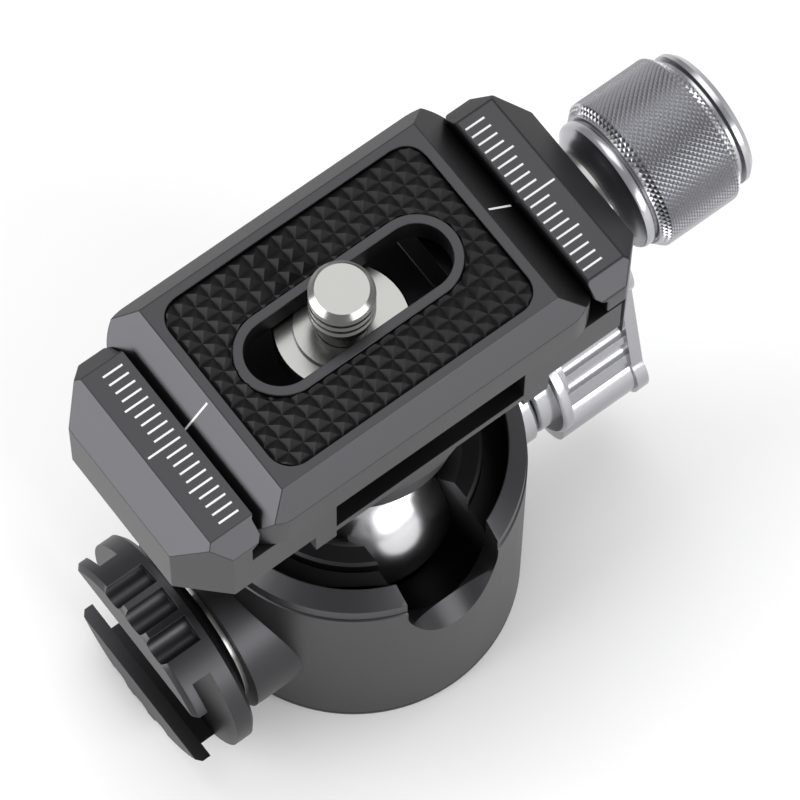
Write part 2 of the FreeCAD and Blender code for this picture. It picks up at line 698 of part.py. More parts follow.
body_trim = common("body_trim", body_blank,
                   plan("body_plan", "stem_top - 1", "plate_top - stem_top + 2", "jaw_outer",
                        "body_right + jaw_corner"),
                   end_bevel("body_ends", "stem_top - 1", JAW_TOP))
channel = section("channel", [
    ("-channel_half", "channel_floor"), ("channel_half", "channel_floor"),
    ("channel_half", f"{PLATE_LOW} + 1"), ("-channel_half", f"{PLATE_LOW} + 1")],
    "-jaw_half - 1", "2 * jaw_half + 2")
stem_socket = rod("spigot_radius + seat_gap", "stem_top - 1", "spigot_height + 1 + seat_gap")
stem_hole = rod("stem_screw_radius + run_gap", "stem_top", "channel_floor - stem_top + 1")
head_sink = rod("stem_screw_head + fine_edge", "channel_floor - stem_screw_head_height",
                "stem_screw_head_height + 1")
spring_hole = rod_x("spring_bore", "body_right - spring_depth", "spring_depth + 1", 0, "screw_height")
screw_hole = rod_x("screw_radius + thread_gap", "screw_inner - 0.3", "body_right", 0, "screw_height")
pin_holes = [rod_x("pin_radius + run_gap", "body_right - pin_depth - 0.5", "pin_depth + 2",
                   f"{side} * pin_offset", "screw_height") for side in (-1, 1)]
piece("clamp_body", cut("clamp_body", fuse("body_and_hub", body_trim, hub), channel, stem_socket, stem_hole,
                        head_sink,
                        spring_hole, screw_hole, *pin_holes))

stem_screw_low = "(stem_top + spigot_height - stem_screw_depth + 0.3)"
head_low = "(channel_floor - stem_screw_head_height)"
stem_screw_blank = turned("stem_screw_blank", [
    (0, stem_screw_low), ("stem_screw_radius", stem_screw_low), ("stem_screw_radius", head_low),
    ("stem_screw_head", head_low), ("stem_screw_head", "channel_floor - 0.5"),
    ("stem_screw_head - 0.3", "channel_floor - 0.2"), (0, "channel_floor - 0.2")])
piece("stem_screw", cut("stem_screw", stem_screw_blank,
                        rod("stem_key_radius", "channel_floor - small_edge - key_depth", 3)))

# Moving jaw, clamp screw, guide pins, spring, washer and the knurled knob

jaw_top_part = jaw_section("jaw_top_part", "1", f"{FLOOR} + 0.3")
jaw_plate = block("jaw_plate_inner", "-jaw_half", "jaw_plate_bottom", "jaw_outer - jaw_plate_inner",
                  "2 * jaw_half", f"{FLOOR} + 1 - jaw_plate_bottom")
jaw_trim = common("jaw_trim", fuse("jaw_blank", jaw_top_part, jaw_plate),
                  plan("jaw_plan", "jaw_plate_bottom - 1", "plate_top - jaw_plate_bottom + 2",
                       "jaw_outer", "jaw_outer"),
                  end_bevel("jaw_ends", "jaw_plate_bottom - 1", JAW_TOP))
jaw_screw_hole = rod_x("screw_radius + run_gap", "jaw_plate_inner - 1", 6, 0, "screw_height")
jaw_pin_holes = [rod_x("pin_radius + thread_gap", "jaw_plate_inner - 1",
                       "jaw_outer - jaw_plate_inner - 0.2",
                       f"{side} * pin_offset", "screw_height") for side in (-1, 1)]
piece("moving_jaw", cut("moving_jaw", jaw_trim, jaw_screw_hole, *jaw_pin_holes))

pins = [rod_x("pin_radius", "body_right - pin_depth", "jaw_outer - pin_cover - body_right + pin_depth",
              f"{side} * pin_offset", "screw_height") for side in (-1, 1)]
piece("guide_pins", fuse("guide_pins", *pins))

spring = doc.addObject("Part::Feature", "clamp_spring")


def spring_shape():
    """Coil spring round the clamp screw: quarter-turn biarcs, swept with a round wire."""
    wire_radius = value("spring_wire") / 2
    mean = value("spring_coil")
    start = value("body_right") - value("spring_depth") + wire_radius + 0.05
    end = value("jaw_plate_inner") - wire_radius - 0.05
    quarters = 4 * int(value("spring_turns"))
    rise = (end - start) / quarters

    def point(step):
        angle = math.pi / 2 * step
        return FreeCAD.Vector(start + rise * step, mean * math.cos(angle), mean * math.sin(angle))

    edges = []
    for step in range(quarters):
        edges.append(Part.Arc(point(step), point(step + 0.5), point(step + 1)).toShape())
    path = Part.Wire(edges)
    tangent = edges[0].tangentAt(edges[0].FirstParameter)
    section_ring = Part.Wire(Part.makeCircle(wire_radius, point(0), tangent))
    least = min((point(a) - point(a + 4)).Length for a in range(quarters - 3)) - 2 * wire_radius
    print(f"clamp_spring least gap to itself {least:.2f} mm")
    return path.makePipeShell([section_ring], True, True)


spring.Shape = spring_shape()
move(spring, 0, 0, "screw_height")
piece("clamp_spring", spring)

piece("clamp_screw", rod_x("screw_radius", "screw_inner",
                           "knurl_end - cap_spigot_length - 1 - screw_inner", 0, "screw_height"))

piece("knob_washer", along_x(turned("knob_washer", [
    ("screw_radius + run_gap", "jaw_outer + run_gap"), ("washer_radius", "jaw_outer + run_gap"),
    ("washer_radius", "jaw_outer + run_gap + washer_thick"),
    ("screw_radius + run_gap", "jaw_outer + run_gap + washer_thick")]), 0, "screw_height"))

knob_bell = along_x(turned("knob_bell", [
    ("screw_radius + thread_gap", "jaw_outer + washer_thick + 2 * run_gap"),
    ("washer_radius - 0.5", "jaw_outer + washer_thick + 2 * run_gap"),
    ("washer_radius - 0.2", "knob_start"),
    ("knob_waist_radius", "knob_start + 0.5"), ("knob_lip_radius - face_gap", "knob_start + knob_bell"),
    ("knob_lip_radius", "knob_start + knob_bell + face_gap"),
    ("knob_lip_radius", "knob_start + knob_bell + face_gap + knob_lip_thick"),
    ("knob_lip_radius - face_gap", "knurl_start - fine_edge"), ("knob_lip_radius - face_gap",
                                                                "knurl_start"),
    ("knob_radius - knob_bevel", "knurl_start"), ("knob_radius", "knurl_start + knob_bevel"),
    ("knob_radius", "knurl_end - knob_bevel"), ("knob_radius - knob_bevel", "knurl_end"),
    ("cap_spigot + run_gap", "knurl_end"), ("cap_spigot + run_gap", "knurl_end - cap_spigot_length - 0.05"),
    ("screw_radius + thread_gap", "knurl_end - cap_spigot_length - 0.05")]), 0, "screw_height")
piece("clamp_knob", knob_bell)

cap = along_x(turned("knob_cap", [
    (0, "knurl_end - cap_spigot_length"), ("cap_spigot", "knurl_end - cap_spigot_length"),
    ("cap_spigot", "knurl_end + thread_gap"), ("cap_radius - 0.5", "knurl_end + thread_gap"),
    ("cap_radius - 0.5", "knurl_end + knob_groove"), ("cap_radius", "knurl_end + knob_groove + 0.2"),
    ("cap_radius", "cap_end - 0.6"), ("cap_radius - 0.5", "cap_end"), (0, "cap_end")]), 0, "screw_height")
piece("knob_cap", cap)

# Camera plate, rubber pad, camera screw and its clip

plate_core = rounded("plate_core", "dovetail_half", "plate_side_wide", "plate_corner", PLATE_LOW,
                     "plate_thick")
plate_long = section("plate_long", [
    ("-dovetail_half", PLATE_LOW), ("dovetail_half", PLATE_LOW),
    ("dovetail_half", f"plate_top - {FLANK}"), ("plate_half_long", "plate_top"),
    ("-plate_half_long", "plate_top"), ("-dovetail_half", f"plate_top - {FLANK}")],
    "-plate_side_wide", "2 * plate_side_wide")
plate_wide_body = doc.addObject("PartDesign::Body", "plate_wide")
plate_wide_sketch = sketch_on(plate_wide_body, "YZ_Plane", [
    ("-plate_side_wide", PLATE_LOW), ("plate_side_wide", PLATE_LOW),
    ("plate_side_wide", "plate_top - plate_bevel_drop"), ("plate_half_wide", "plate_top"),
    ("-plate_half_wide", "plate_top"), ("-plate_side_wide", "plate_top - plate_bevel_drop")])
plate_wide_pad = plate_wide_body.newObject("PartDesign::Pad", "pad")
plate_wide_pad.Profile = plate_wide_sketch
plate_wide_pad.Midplane = True
bind(plate_wide_pad, "Length", "2 * dovetail_half")
plate_blank = common("plate_blank", plate_core, plate_long, plate_wide_body)
plate_slot = stadium(f"{PLATE_LOW} - 1", "plate_thick + 2", "slot_half_long", "slot_half_wide")
under_slot = stadium(f"{PLATE_LOW} - 1", "under_depth + 1", "under_half_long", "under_half_wide")


PAD_LOW = "(plate_top - pad_sink)"
pad_pocket = cut("pad_pocket", rounded("pocket_outline", "pad_half_long + pad_gap",
                                       "pad_half_wide + pad_gap",
                                       "pad_corner + pad_gap", PAD_LOW, "pad_sink + 1"),
                 stadium(f"{PAD_LOW} - 1", "pad_sink + 1 + small_edge", "slot_half_long + rim_wide",
                         "slot_half_wide + rim_wide"))
plate = cut("qr_plate", plate_blank, plate_slot, under_slot, pad_pocket)
move(plate, 0, "plate_offset", 0)
piece("qr_plate", plate)

pad = cut("rubber_pad", rounded("pad_outline", "pad_half_long", "pad_half_wide", "pad_corner",
                                f"{PAD_LOW} + thread_gap", "pad_thick"),
          stadium(f"{PAD_LOW} - 1", "pad_thick + 3", "slot_half_long + rim_wide + pad_gap",
                  "slot_half_wide + rim_wide + pad_gap"))
move(pad, 0, "plate_offset", 0)
piece("rubber_pad", pad)

HEAD_TOP = f"({PLATE_LOW} + under_depth - clip_thick - 3 * run_gap)"
camera_blank = turned("camera_blank", [
    (0, f"{HEAD_TOP} - camera_head_thick"), ("camera_head_radius - 0.3", f"{HEAD_TOP} - camera_head_thick"),
    ("camera_head_radius", f"{HEAD_TOP} - camera_head_thick + 0.3"),
    ("camera_head_radius", f"{HEAD_TOP} - 0.2"), ("camera_head_radius - 0.2", HEAD_TOP),
    ("camera_neck_radius", HEAD_TOP), ("camera_neck_radius", "plate_top - 0.6"),
    ("camera_screw_radius", "plate_top"), ("camera_screw_radius", "plate_top + camera_screw_rise - 0.6"),
    ("camera_screw_radius - 0.6", "plate_top + camera_screw_rise"), (0, "plate_top + camera_screw_rise")])
hex_socket = padded("hex_socket", [
    (f"hex_half * ({math.cos(math.radians(60 * k)):.8f}) / {COS_THIRTY}",
     f"hex_half * ({math.sin(math.radians(60 * k)):.8f}) / {COS_THIRTY}")
    for k in range(6)], f"{HEAD_TOP} - camera_head_thick - 1", "hex_depth + 1")
camera_screw = cut("camera_screw", camera_blank, hex_socket)
move(camera_screw, "camera_screw_x", "plate_offset", 0)
piece("camera_screw", camera_screw)

clip = turned("screw_clip", [
    ("camera_neck_radius + run_gap", f"{HEAD_TOP} + run_gap"), ("clip_radius", f"{HEAD_TOP} + run_gap"),
    ("clip_radius", f"{HEAD_TOP} + run_gap + clip_thick"),
    ("camera_neck_radius + run_gap", f"{HEAD_TOP} + run_gap + clip_thick")])
move(clip, "camera_screw_x", "plate_offset", 0)
piece("screw_clip", clip)

doc.recompute()

failed = [item.Label for item in doc.Objects if "Invalid" in item.State or "Error" in item.State]
if failed:
    raise SystemExit("failed objects: " + ", ".join(failed))
os.makedirs("parts", exist_ok=True)
for label, item in PARTS:
    if item.Shape.isNull() or not item.Shape.isValid() or not item.Shape.Solids:
        raise SystemExit("bad shape: " + label)
for label, item in PARTS:
    item.Shape.exportStep(os.path.join("parts", label + ".step"))
print(f"{len(PARTS)} nodes written")
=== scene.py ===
# %% [markdown]
# A mini tripod ball head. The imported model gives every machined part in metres, and this
# script dresses it: it loads that frame, makes the finishes from how each surface is made,
# adds the fine pieces that a turned or moulded surface has, and lights it in a plain studio.

# %% Load the frame
import math
import bpy
import bmesh
from mathutils import Matrix, Vector


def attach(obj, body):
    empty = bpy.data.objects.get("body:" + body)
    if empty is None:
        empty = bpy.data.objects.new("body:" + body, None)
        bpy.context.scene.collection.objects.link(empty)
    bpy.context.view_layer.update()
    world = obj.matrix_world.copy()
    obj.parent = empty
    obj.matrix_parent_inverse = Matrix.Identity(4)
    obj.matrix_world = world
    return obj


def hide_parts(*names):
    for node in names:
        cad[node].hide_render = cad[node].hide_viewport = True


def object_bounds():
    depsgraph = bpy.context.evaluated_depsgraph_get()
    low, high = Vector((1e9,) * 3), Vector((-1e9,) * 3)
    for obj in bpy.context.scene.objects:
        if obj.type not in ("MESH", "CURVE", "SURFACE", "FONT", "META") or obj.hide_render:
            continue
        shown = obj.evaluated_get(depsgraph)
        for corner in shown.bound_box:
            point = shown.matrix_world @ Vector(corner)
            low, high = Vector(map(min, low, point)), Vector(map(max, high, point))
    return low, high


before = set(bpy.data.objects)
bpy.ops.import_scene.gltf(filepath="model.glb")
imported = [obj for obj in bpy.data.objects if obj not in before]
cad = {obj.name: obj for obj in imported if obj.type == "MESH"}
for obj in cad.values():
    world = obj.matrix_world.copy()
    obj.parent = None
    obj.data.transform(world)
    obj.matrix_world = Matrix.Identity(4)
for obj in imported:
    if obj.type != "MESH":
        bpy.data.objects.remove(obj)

MM = 0.001
size_before = [list(map(float, corner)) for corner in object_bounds()]
print(len(cad), "CAD nodes, box", size_before)

# %% [markdown]
# Colours are chosen as display values and shaders work in linear light, so one function turns a
# hex colour into linear numbers. A second one adds a shader node with its settings and links,
# which keeps each finish short enough to read as a recipe.

# %% Colour and node helpers
def linear(hex_colour):
    """A display colour such as 808080 as linear RGBA."""
    parts = [int(hex_colour[i:i + 2], 16) / 255 for i in (0, 2, 4)]
    return [c / 12.92 if c <= 0.04045 else ((c + 0.055) / 1.055) ** 2.4 for c in parts] + [1.0]


def add(tree, kind, links=None, **settings):
    """Adds a shader node, sets its inputs or its own settings by name, and links named inputs."""
    node = tree.nodes.new(kind)
    for name, setting in settings.items():
        words = name.replace("_", " ").title()
        if words in node.inputs:
            node.inputs[words].default_value = setting
        else:
            setattr(node, name, setting)
    for name, source in (links or {}).items():
        tree.links.new(source, node.inputs[name])
    return node


print("808080 is", round(linear("808080")[0], 3), "in linear light")

# %% [markdown]
# No real surface is perfectly even. Blasting, tumbling, rolling and moulding each leave a fine
# grain with a size and a relief that can be looked up, and it also makes the gloss vary a little.
# So every finish here is one shader with constant colour, and one noise that drives both the
# relief and the roughness. Grit and relief are given in millimetres.

# %% One recipe for every finish
def finish(name, hex_colour, grit, relief, roughness, spread, metallic=0.0, specular=0.5):
    """A material with a fine grain, whose roughness lies within a spread of its middle value."""
    material = bpy.data.materials.new(name)
    material.use_nodes = True
    tree = material.node_tree
    shader = tree.nodes["Principled BSDF"]
    shader.inputs["Base Color"].default_value = linear(hex_colour)
    shader.inputs["Metallic"].default_value = metallic
    shader.inputs["Specular IOR Level"].default_value = specular
    where = add(tree, "ShaderNodeTexCoord")
    noise = add(tree, "ShaderNodeTexNoise", {"Vector": where.outputs["Object"]},
                scale=1 / (grit * MM), detail=3.0)
    bump = add(tree, "ShaderNodeBump", {"Height": noise.outputs["Fac"]},
               distance=relief * MM, strength=1.0)
    vary = add(tree, "ShaderNodeMapRange", {"Value": noise.outputs["Fac"]},
               to_min=roughness - spread, to_max=roughness + spread)
    tree.links.new(bump.outputs["Normal"], shader.inputs["Normal"])
    tree.links.new(vary.outputs["Result"], shader.inputs["Roughness"])
    print("finish", name)
    return material


# %% [markdown]
# The body is milled aluminium, bead blasted and anodised dark grey. Blasting leaves grains of
# about a tenth of a millimetre with a relief near one micrometre, which blurs every reflection
# evenly, so the flat faces look matt and the bevels still catch the light.

# %% Dark anodised aluminium
anodised = finish("aluminium_bead_blasted_dark_anodised", "3f3f41", grit=0.12, relief=0.0012,
                  roughness=0.42, spread=0.03, metallic=1.0)

# %% [markdown]
# The two knobs are turned from aluminium and tumbled to a satin, then clear anodised, so they
# stay silver with soft, long highlights.

# %% Silver satin aluminium
silver = finish("aluminium_turned_clear_anodised", "acacb0", grit=0.10, relief=0.0006,
                roughness=0.26, spread=0.03, metallic=1.0)

# %% [markdown]
# The ball and its stem are polished steel. Their grain is coarse and very shallow, and they get
# more roughness than a mirror has, so that the ball reads as one round body. Screws, washers and
# the spring are zinc-plated steel, and the small pad that presses on the ball is turned brass.

# %% Steel and brass
polished = finish("steel_ball_polished", "c6c6c8", grit=0.8, relief=0.0002,
                  roughness=0.24, spread=0.03, metallic=1.0)
steel = finish("steel_rolled_zinc_plated", "868684", grit=0.08, relief=0.0006,
               roughness=0.24, spread=0.03, metallic=1.0)
brass = finish("brass_turned", "c9a55c", grit=0.08, relief=0.0006,
               roughness=0.3, spread=0.03, metallic=1.0)

# %% [markdown]
# The seats that grip the ball are moulded acetal, black with a faint gloss. The camera pad is
# moulded silicone rubber, darker still, with a soft sheen that shows the facets of its pattern.
# The scale lines are marked by laser, which leaves a dull, nearly white trace in the anodising.

# %% Black polymer, rubber and laser marks
polymer = finish("acetal_moulded_black", "101011", grit=0.2, relief=0.0008,
                 roughness=0.4, spread=0.04, specular=0.25)
rubber = finish("silicone_rubber_moulded_black", "0d0d0e", grit=0.09, relief=0.0006,
                roughness=0.33, spread=0.04, specular=0.3)
marks = finish("laser_mark_white", "e6e6e6", grit=0.05, relief=0.0008, roughness=0.7, spread=0.05)

# %% [markdown]
# Every CAD piece keeps its shape and gets the finish of its material, also the ones inside, since
# they show when the head is tipped or taken apart.

# %% Give every CAD node its finish
FINISHES = {
    anodised: ["base", "housing", "collar", "seat_ring", "cold_shoe", "clamp_body", "moving_jaw",
               "qr_plate"],
    silver: ["lock_knob", "lock_bushing", "clamp_knob", "knob_cap"],
    polished: ["ball", "stem"],
    steel: ["thrust_washer", "wave_washer", "pan_nut", "lock_screw", "lock_grub", "shoe_washer",
            "shoe_screw", "stem_screw", "clamp_screw", "guide_pins", "clamp_spring", "knob_washer",
            "camera_screw", "screw_clip"],
    polymer: ["upper_seat", "lower_seat"],
    rubber: ["rubber_pad"],
    brass: ["lock_pad"],
}
for material, names in FINISHES.items():
    for name in names:
        cad[name].data.materials.clear()
        cad[name].data.materials.append(material)
print("without a finish:", sorted(set(cad) - {n for names in FINISHES.values() for n in names}))

# %% [markdown]
# A cutter never leaves a perfectly sharp edge: machined edges are broken by a tenth or two of a
# millimetre, and that thin strip is what catches the light. Modifiers on the CAD meshes join the
# split corners, merge the flat triangles, round the edges and then even out the shading.

# %% Break the machined edges
WELD_DISTANCE = 1e-6
FLAT_ANGLE, EDGE_ANGLE = math.radians(0.5), math.radians(25)
EDGE_WIDTHS = {"qr_plate": 0.15, "clamp_body": 0.2, "moving_jaw": 0.2, "housing": 0.15,
               "collar": 0.12, "cold_shoe": 0.15, "lock_knob": 0.12, "base": 0.08}


def break_edges(node, width):
    """Rounds the sharp edges of a CAD node by a width in millimetres."""
    item = cad[node]
    item.modifiers.new("join", "WELD").merge_threshold = WELD_DISTANCE
    flat = item.modifiers.new("flats", "DECIMATE")
    flat.decimate_type = "DISSOLVE"
    flat.angle_limit = FLAT_ANGLE
    bevel = item.modifiers.new("edge", "BEVEL")
    bevel.width = width * MM
    bevel.segments = 2
    bevel.limit_method = "ANGLE"
    bevel.angle_limit = EDGE_ANGLE
    item.modifiers.new("shade", "WEIGHTED_NORMAL").keep_sharp = False


for name, width in EDGE_WIDTHS.items():
    break_edges(name, width)
print("edges broken on", ", ".join(EDGE_WIDTHS))

# %% [markdown]
# Three CAD pieces get a finer stand-in: the moulded pad, the knurled knob and the threaded screw.
# Each new piece is a closed mesh. Where it shares its outline with the CAD piece, a boolean takes
# that outline from a copy, so the new piece sits exactly where the old one was.

# %% Helpers that make meshes
def mesh_of(name, corners, faces):
    """A closed mesh from corners in millimetres, with its faces turned outward."""
    mesh = bpy.data.meshes.new(name)
    mesh.from_pydata([tuple(c * MM for c in corner) for corner in corners], [], faces)
    shape = bmesh.new()
    shape.from_mesh(mesh)
    bmesh.ops.recalc_face_normals(shape, faces=shape.faces)
    shape.to_mesh(mesh)
    shape.free()
    return mesh


def copy_of(node):
    """A welded copy of a CAD piece's mesh."""
    shape = bmesh.new()
    shape.from_mesh(cad[node].data)
    bmesh.ops.remove_doubles(shape, verts=shape.verts, dist=WELD_DISTANCE)
    mesh = bpy.data.meshes.new(node + "_copy")
    shape.to_mesh(mesh)
    shape.free()
    return mesh


# %% [markdown]
# The boolean carries over the smooth normals of its inputs, which would hide small facets, so
# they are dropped. A finished piece is shaded smooth except across edges sharper than an angle,
# then it rides on the body that it is fixed to.

# %% Helpers that combine and place pieces
def combined(first, second, operation):
    """The first mesh combined with the second by an exact boolean."""
    pair = [bpy.data.objects.new(mesh.name, mesh) for mesh in (first, second)]
    for item in pair:
        bpy.context.scene.collection.objects.link(item)
    boolean = pair[0].modifiers.new("combine", "BOOLEAN")
    boolean.operation = operation
    boolean.solver = "EXACT"
    boolean.object = pair[1]
    evaluated = pair[0].evaluated_get(bpy.context.evaluated_depsgraph_get())
    result = bpy.data.meshes.new_from_object(evaluated)
    for word in ("custom_normal", "sharp_edge", "sharp_face"):
        if word in result.attributes:
            result.attributes.remove(result.attributes[word])
    for item in pair:
        bpy.data.objects.remove(item)
    return result


def add_piece(name, mesh, material, slot, body, *nodes, sharp=35):
    """Adds a piece that rides on a body and may stand for CAD nodes; sharp is in degrees."""
    mesh.materials.clear()
    mesh.materials.append(material)
    for polygon in mesh.polygons:
        polygon.use_smooth = True
    mesh.set_sharp_from_angle(angle=math.radians(sharp))
    item = bpy.data.objects.new(name, mesh)
    bpy.context.scene.collection.objects.link(item)
    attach(item, body)
    if nodes:
        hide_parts(*nodes)
    print(name, len(mesh.polygons), "faces on", body)


# %% [markdown]
# The camera pad is moulded silicone with rows of small square pyramids, which bite into the
# camera's underside. It could be one texture, but the facets show from every side, so a grid of
# cells is built, each a low pyramid. The grid is one cell larger than the pad on each side.

# %% Grid of pyramids
PAD_HALF_LONG, PAD_HALF_WIDE, PAD_TOP = 14.75, 10.05, 64.7
PYRAMID_HEIGHT, GRID_DEPTH = 0.55, 3
CELLS_LONG, CELLS_WIDE = 18, 12
PLATE_Y = 0.7
pitch_x = 2 * PAD_HALF_LONG / CELLS_LONG
pitch_y = 2 * PAD_HALF_WIDE / CELLS_WIDE
columns, rows = CELLS_LONG + 2, CELLS_WIDE + 2
layer = (columns + 1) * (rows + 1)


def grid_place(i, j, height):
    """The place of a grid point, counted in cells along X and Y."""
    return ((i - columns / 2) * pitch_x, PLATE_Y + (j - rows / 2) * pitch_y, height)


def grid_point(i, j):
    """The number of a grid point in its upper layer."""
    return j * (columns + 1) + i


corners = [grid_place(i, j, height) for height in (PAD_TOP - PYRAMID_HEIGHT, PAD_TOP - GRID_DEPTH)
           for j in range(rows + 1) for i in range(columns + 1)]
faces = []
for j in range(rows):
    for i in range(columns):
        square = (grid_point(i, j), grid_point(i + 1, j), grid_point(i + 1, j + 1), grid_point(i, j + 1))
        corners.append(grid_place(i + 0.5, j + 0.5, PAD_TOP))
        peak = len(corners) - 1
        faces += [(square[k], square[(k + 1) % 4], peak) for k in range(4)]
        faces.append(tuple(layer + c for c in reversed(square)))
print(rows * columns, "pyramids,", round(pitch_x, 2), "by", round(pitch_y, 2), "mm")

# %% [markdown]
# Side walls close the grid, and cutting it to the pad's own outline gives it the round corners
# and the long slot. Pyramids at the border are cut through.

# %% Cut the pad to its outline
rim = ([grid_point(i, 0) for i in range(columns)] + [grid_point(columns, j) for j in range(rows)]
       + [grid_point(columns - i, rows) for i in range(columns)]
       + [grid_point(0, rows - j) for j in range(rows)])
for k, near in enumerate(rim):
    far = rim[(k + 1) % len(rim)]
    faces.append((near, far, layer + far, layer + near))
pyramids = mesh_of("pyramid_grid", corners, faces)
add_piece("pyramid_pad", combined(pyramids, copy_of("rubber_pad"), "INTERSECT"), rubber, "rubber",
          "plate", "rubber_pad", sharp=20)

# %% [markdown]
# The clamp knob is turned with a bell-shaped collar and a rounded lip, and its grip is knurled: a
# wheel rolls two crossing sets of grooves, which leave small diamond peaks. Its profile is a list
# of radius, place along the screw and how deep every second point is sunk. The bell and the bore
# have no sunk points; the grip has many rows, which fade out on its bevelled ends.

# %% Profile of the knurled knob
GRIP_START, GRIP_END, GRIP_RADIUS, GRIP_EDGE = 31.0, 40.8, 8.15, 7.25
KNURL_ROWS, KNURL_DEPTH, KNURL_FADE = 32, 0.27, 0.35
BORE, FACE, SPIGOT_BORE, SPIGOT_FLOOR = 2.01, 27.92, 5.06, 38.24
BELL = [(5.1, FACE), (5.4, 28.4), (5.62, 28.66), (5.9, 28.92), (6.25, 29.25), (6.62, 29.6),
        (6.88, 29.76), (7.0, 30.0), (7.0, 30.55), (6.88, 30.76), (6.65, 30.86), (6.65, GRIP_START)]
profile = [(BORE, FACE, 0)] + [(radius, along, 0) for radius, along in BELL]
for row in range(KNURL_ROWS + 1):
    along = GRIP_START + (GRIP_END - GRIP_START) * row / KNURL_ROWS
    radius = min(GRIP_RADIUS, GRIP_EDGE + along - GRIP_START, GRIP_EDGE + GRIP_END - along)
    profile.append((radius, along, KNURL_DEPTH * min(1, (radius - GRIP_EDGE) / KNURL_FADE)))
profile += [(SPIGOT_BORE, GRIP_END, 0), (SPIGOT_BORE, SPIGOT_FLOOR, 0), (BORE, SPIGOT_FLOOR, 0)]
print(len(profile), "rings in the profile")

# %% [markdown]
# The profile is turned round the screw's axis in 160 steps, which puts the peaks about 0.64 mm
# apart round the grip. Each square of the grip is split between its two sunk points, so the
# grooves run diagonally and the peaks between them are sharp.

# %% Turn the knurled knob
SCREW_HEIGHT, KNOB_STEPS = 52.7, 160
corners, faces = [], []
for ring, (radius, along, sunk) in enumerate(profile):
    for step in range(KNOB_STEPS):
        reach = radius - (sunk if (ring + step) % 2 else 0)
        turn = 2 * math.pi * step / KNOB_STEPS
        corners.append((along, reach * math.cos(turn), SCREW_HEIGHT + reach * math.sin(turn)))
for ring in range(len(profile)):
    after = (ring + 1) % len(profile)
    for near in range(KNOB_STEPS):
        far = (near + 1) % KNOB_STEPS
        square = [ring * KNOB_STEPS + near, ring * KNOB_STEPS + far,
                  after * KNOB_STEPS + far, after * KNOB_STEPS + near]
        if profile[ring][2] or profile[after][2]:
            start = 0 if (ring + near) % 2 else 1
            faces.append((square[start], square[start + 1], square[start + 2]))
            faces.append((square[start], square[start + 2], square[(start + 3) % 4]))
        else:
            faces.append(tuple(square))
add_piece("knurled_knob", mesh_of("knurled_knob", corners, faces), silver, "silver_aluminium",
          "clamp_knob", "clamp_knob", sharp=30)

# %% [markdown]
# The camera screw has the standard 1/4 inch thread, 20 turns to the inch, so its pitch is
# 1.27 mm. A V-shaped cutter is swept along the helix and taken away from a copy of the plain
# screw, which keeps the screw's head, its key socket and the broken edge at its tip.

# %% Camera screw thread
SCREW_X, THREAD_PITCH, THREAD_START, THREAD_TURNS = -0.8, 1.27, 64.9, 4.4
GROOVE_ROOT, GROOVE_OUTSIDE, GROOVE_HALF = 2.6, 3.5, 0.6
TURN_STEPS = 36
GROOVE = ((GROOVE_ROOT, 0.0), (GROOVE_OUTSIDE, GROOVE_HALF), (GROOVE_OUTSIDE, -GROOVE_HALF))
last = int(THREAD_TURNS * TURN_STEPS)
corners, faces = [], []
for step in range(last + 1):
    turn = 2 * math.pi * step / TURN_STEPS
    height = THREAD_START + THREAD_PITCH * step / TURN_STEPS
    for reach, lift in GROOVE:
        corners.append((SCREW_X + reach * math.cos(turn), PLATE_Y + reach * math.sin(turn), height + lift))
for step in range(last):
    for k in range(3):
        a, b = 3 * step + k, 3 * step + (k + 1) % 3
        faces.append((a, b, b + 3, a + 3))
faces += [(0, 1, 2), (3 * last, 3 * last + 2, 3 * last + 1)]
groove = mesh_of("thread_groove", corners, faces)
add_piece("threaded_screw", combined(copy_of("camera_screw"), groove, "DIFFERENCE"), steel, "steel",
          "camera_screw", "camera_screw", sharp=28)

# %% [markdown]
# The scale on the jaws has 19 lines a millimetre apart on each side. The middle one is longest
# and the ones at five millimetres are a little longer than the rest. One long line on each end of
# the plate shows its middle against that scale. A laser line has no depth to speak of, so each is
# a thin strip that stands a hundredth of a millimetre proud of the metal.

# %% Helper for a marked line
MARK_WIDTH, MARK_SUNK, MARK_PROUD = 0.21, -0.02, 0.01


def mark_line(corners, faces, start, end, y):
    """Adds a thin strip along X at a given Y, from a start to an end that are each X and Z."""
    first = len(corners)
    for x, z in (start, end):
        for side in (-1, 1):
            for lift in (MARK_SUNK, MARK_PROUD):
                corners.append((x, y + side * MARK_WIDTH / 2, z + lift))
    faces += [tuple(first + k for k in quad) for quad in
              ((0, 1, 3, 2), (4, 6, 7, 5), (0, 4, 5, 1), (2, 3, 7, 6), (1, 5, 7, 3), (0, 2, 6, 4))]


# %% Scale on the jaws
JAW_TOP, MARK_START = 62.8, 19.9
MARK_END, FIVE_END, MIDDLE_END = 22.1, 22.5, 23.5
for side, body, name in ((-1, "clamp", "scale_left"), (1, "moving_jaw", "scale_right")):
    corners, faces = [], []
    for tick in range(-9, 10):
        end = MIDDLE_END if tick == 0 else FIVE_END if tick % 5 == 0 else MARK_END
        mark_line(corners, faces, (side * MARK_START, JAW_TOP), (side * end, JAW_TOP), tick)
    add_piece(name, mesh_of(name, corners, faces), marks, "silver_aluminium", body)

# %% Middle line on the plate's ends
BEVEL_HIGH, BEVEL_LOW = (16.25, 64.25), (18.95, 61.55)
corners, faces = [], []
for side in (-1, 1):
    mark_line(corners, faces, (side * BEVEL_HIGH[0], BEVEL_HIGH[1]), (side * BEVEL_LOW[0], BEVEL_LOW[1]),
              PLATE_Y)
add_piece("plate_marks", mesh_of("plate_marks", corners, faces), marks, "silver_aluminium", "plate")

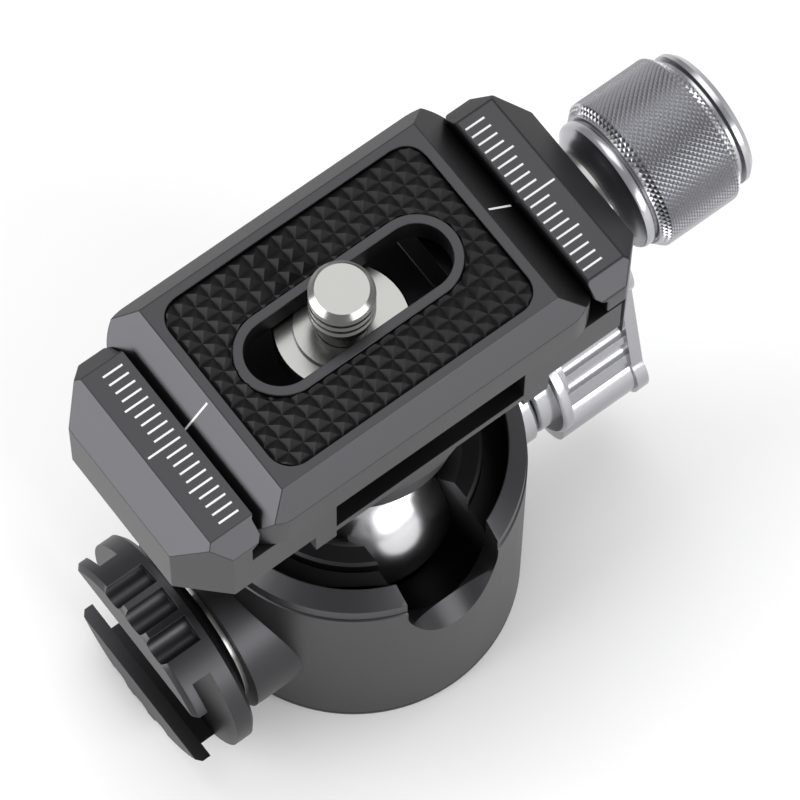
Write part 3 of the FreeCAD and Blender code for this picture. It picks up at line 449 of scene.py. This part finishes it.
# %% [markdown]
# The camera stands well above the object and looks down, with a long lens, so the plate shows
# almost in plan. Its direction is given by an azimuth, an elevation and a small roll. It looks at
# the middle of the plate's top, then moves a few millimetres sideways and down to frame the view.

# %% Camera
AZIMUTH, ELEVATION, ROLL = math.radians(38.05), math.radians(67.65), math.radians(1.11)
DISTANCE, SHIFT_RIGHT, SHIFT_DOWN, PLATE_TOP = 523.1, 4.29, 8.34, 64.6
SENSOR_WIDTH, FOCAL_PIXELS, IMAGE_PIXELS = 36, 5668, 800
back = Vector((-math.sin(AZIMUTH) * math.cos(ELEVATION), -math.cos(AZIMUTH) * math.cos(ELEVATION),
               math.sin(ELEVATION)))
level = Vector((math.cos(AZIMUTH), -math.sin(AZIMUTH), 0))
upright = back.cross(level)
right = math.cos(ROLL) * level + math.sin(ROLL) * upright
top = math.cos(ROLL) * upright - math.sin(ROLL) * level
stand = (DISTANCE * MM * back + SHIFT_RIGHT * MM * right - SHIFT_DOWN * MM * top
         + Vector((0, 0, PLATE_TOP * MM)))
camera = bpy.data.objects.new("camera", bpy.data.cameras.new("camera"))
bpy.context.scene.collection.objects.link(camera)
camera.data.sensor_width = SENSOR_WIDTH
camera.data.lens = SENSOR_WIDTH * FOCAL_PIXELS / IMAGE_PIXELS
camera.data.clip_start = 0.01
camera.matrix_world = Matrix((right, top, back)).transposed().to_4x4()
camera.matrix_world.translation = stand
bpy.context.scene.camera = camera
print("camera at", [round(c, 4) for c in stand])

# %% [markdown]
# A plain pale floor carries the shadow. It lies a tenth of a millimetre under the object, so the
# two surfaces never fight for the same place.

# %% Floor
FLOOR_HALF, FLOOR_GAP = 3, 0.0001
floor_height = size_before[0][2] - FLOOR_GAP
floor_mesh = bpy.data.meshes.new("floor")
floor_mesh.from_pydata([(x * FLOOR_HALF, y * FLOOR_HALF, floor_height)
                        for x, y in ((-1, -1), (1, -1), (1, 1), (-1, 1))], [], [(0, 1, 2, 3)])
floor = bpy.data.objects.new("floor", floor_mesh)
bpy.context.scene.collection.objects.link(floor)
floor.data.materials.append(finish("floor_paint_white", "f6f6f6", grit=5, relief=0.01,
                                   roughness=0.9, spread=0.02))

# %% [markdown]
# Two soft boxes stand low at the front and the left, which is where the bevels look, and a wide
# one hangs above. The world is an even pale light that fills what they leave.

# %% Soft boxes and world
AIM_HEIGHT, WORLD_GREY = 0.045, 0.52
SOFTBOXES = (  # name, direction, distance, width, height in metres, power in watts
    ("softbox_front", (0.23, -0.92, 0.32), 0.7, 0.6, 0.3, 3.4),
    ("softbox_left", (-0.92, 0.30, 0.26), 0.7, 0.6, 0.3, 4.6),
    ("softbox_above", (0.25, 0.3, 0.92), 1.0, 0.8, 0.8, 4.4),
)
for name, direction, distance, width, height, power in SOFTBOXES:
    light = bpy.data.lights.new(name, "AREA")
    light.shape = "RECTANGLE"
    light.size = width
    light.size_y = height
    light.energy = power
    item = bpy.data.objects.new(name, light)
    bpy.context.scene.collection.objects.link(item)
    towards = Vector(direction).normalized()
    item.location = towards * distance + Vector((0, 0, AIM_HEIGHT))
    item.rotation_euler = towards.to_track_quat("Z", "Y").to_euler()
world = bpy.data.worlds.new("studio")
bpy.context.scene.world = world
world.use_nodes = True
backdrop = world.node_tree.nodes["Background"]
backdrop.inputs["Color"].default_value = (WORLD_GREY, WORLD_GREY, WORLD_GREY, 1)
backdrop.inputs["Strength"].default_value = 1.0
bpy.context.scene.view_settings.view_transform = "Standard"
print(len(SOFTBOXES), "soft boxes over a grey world")
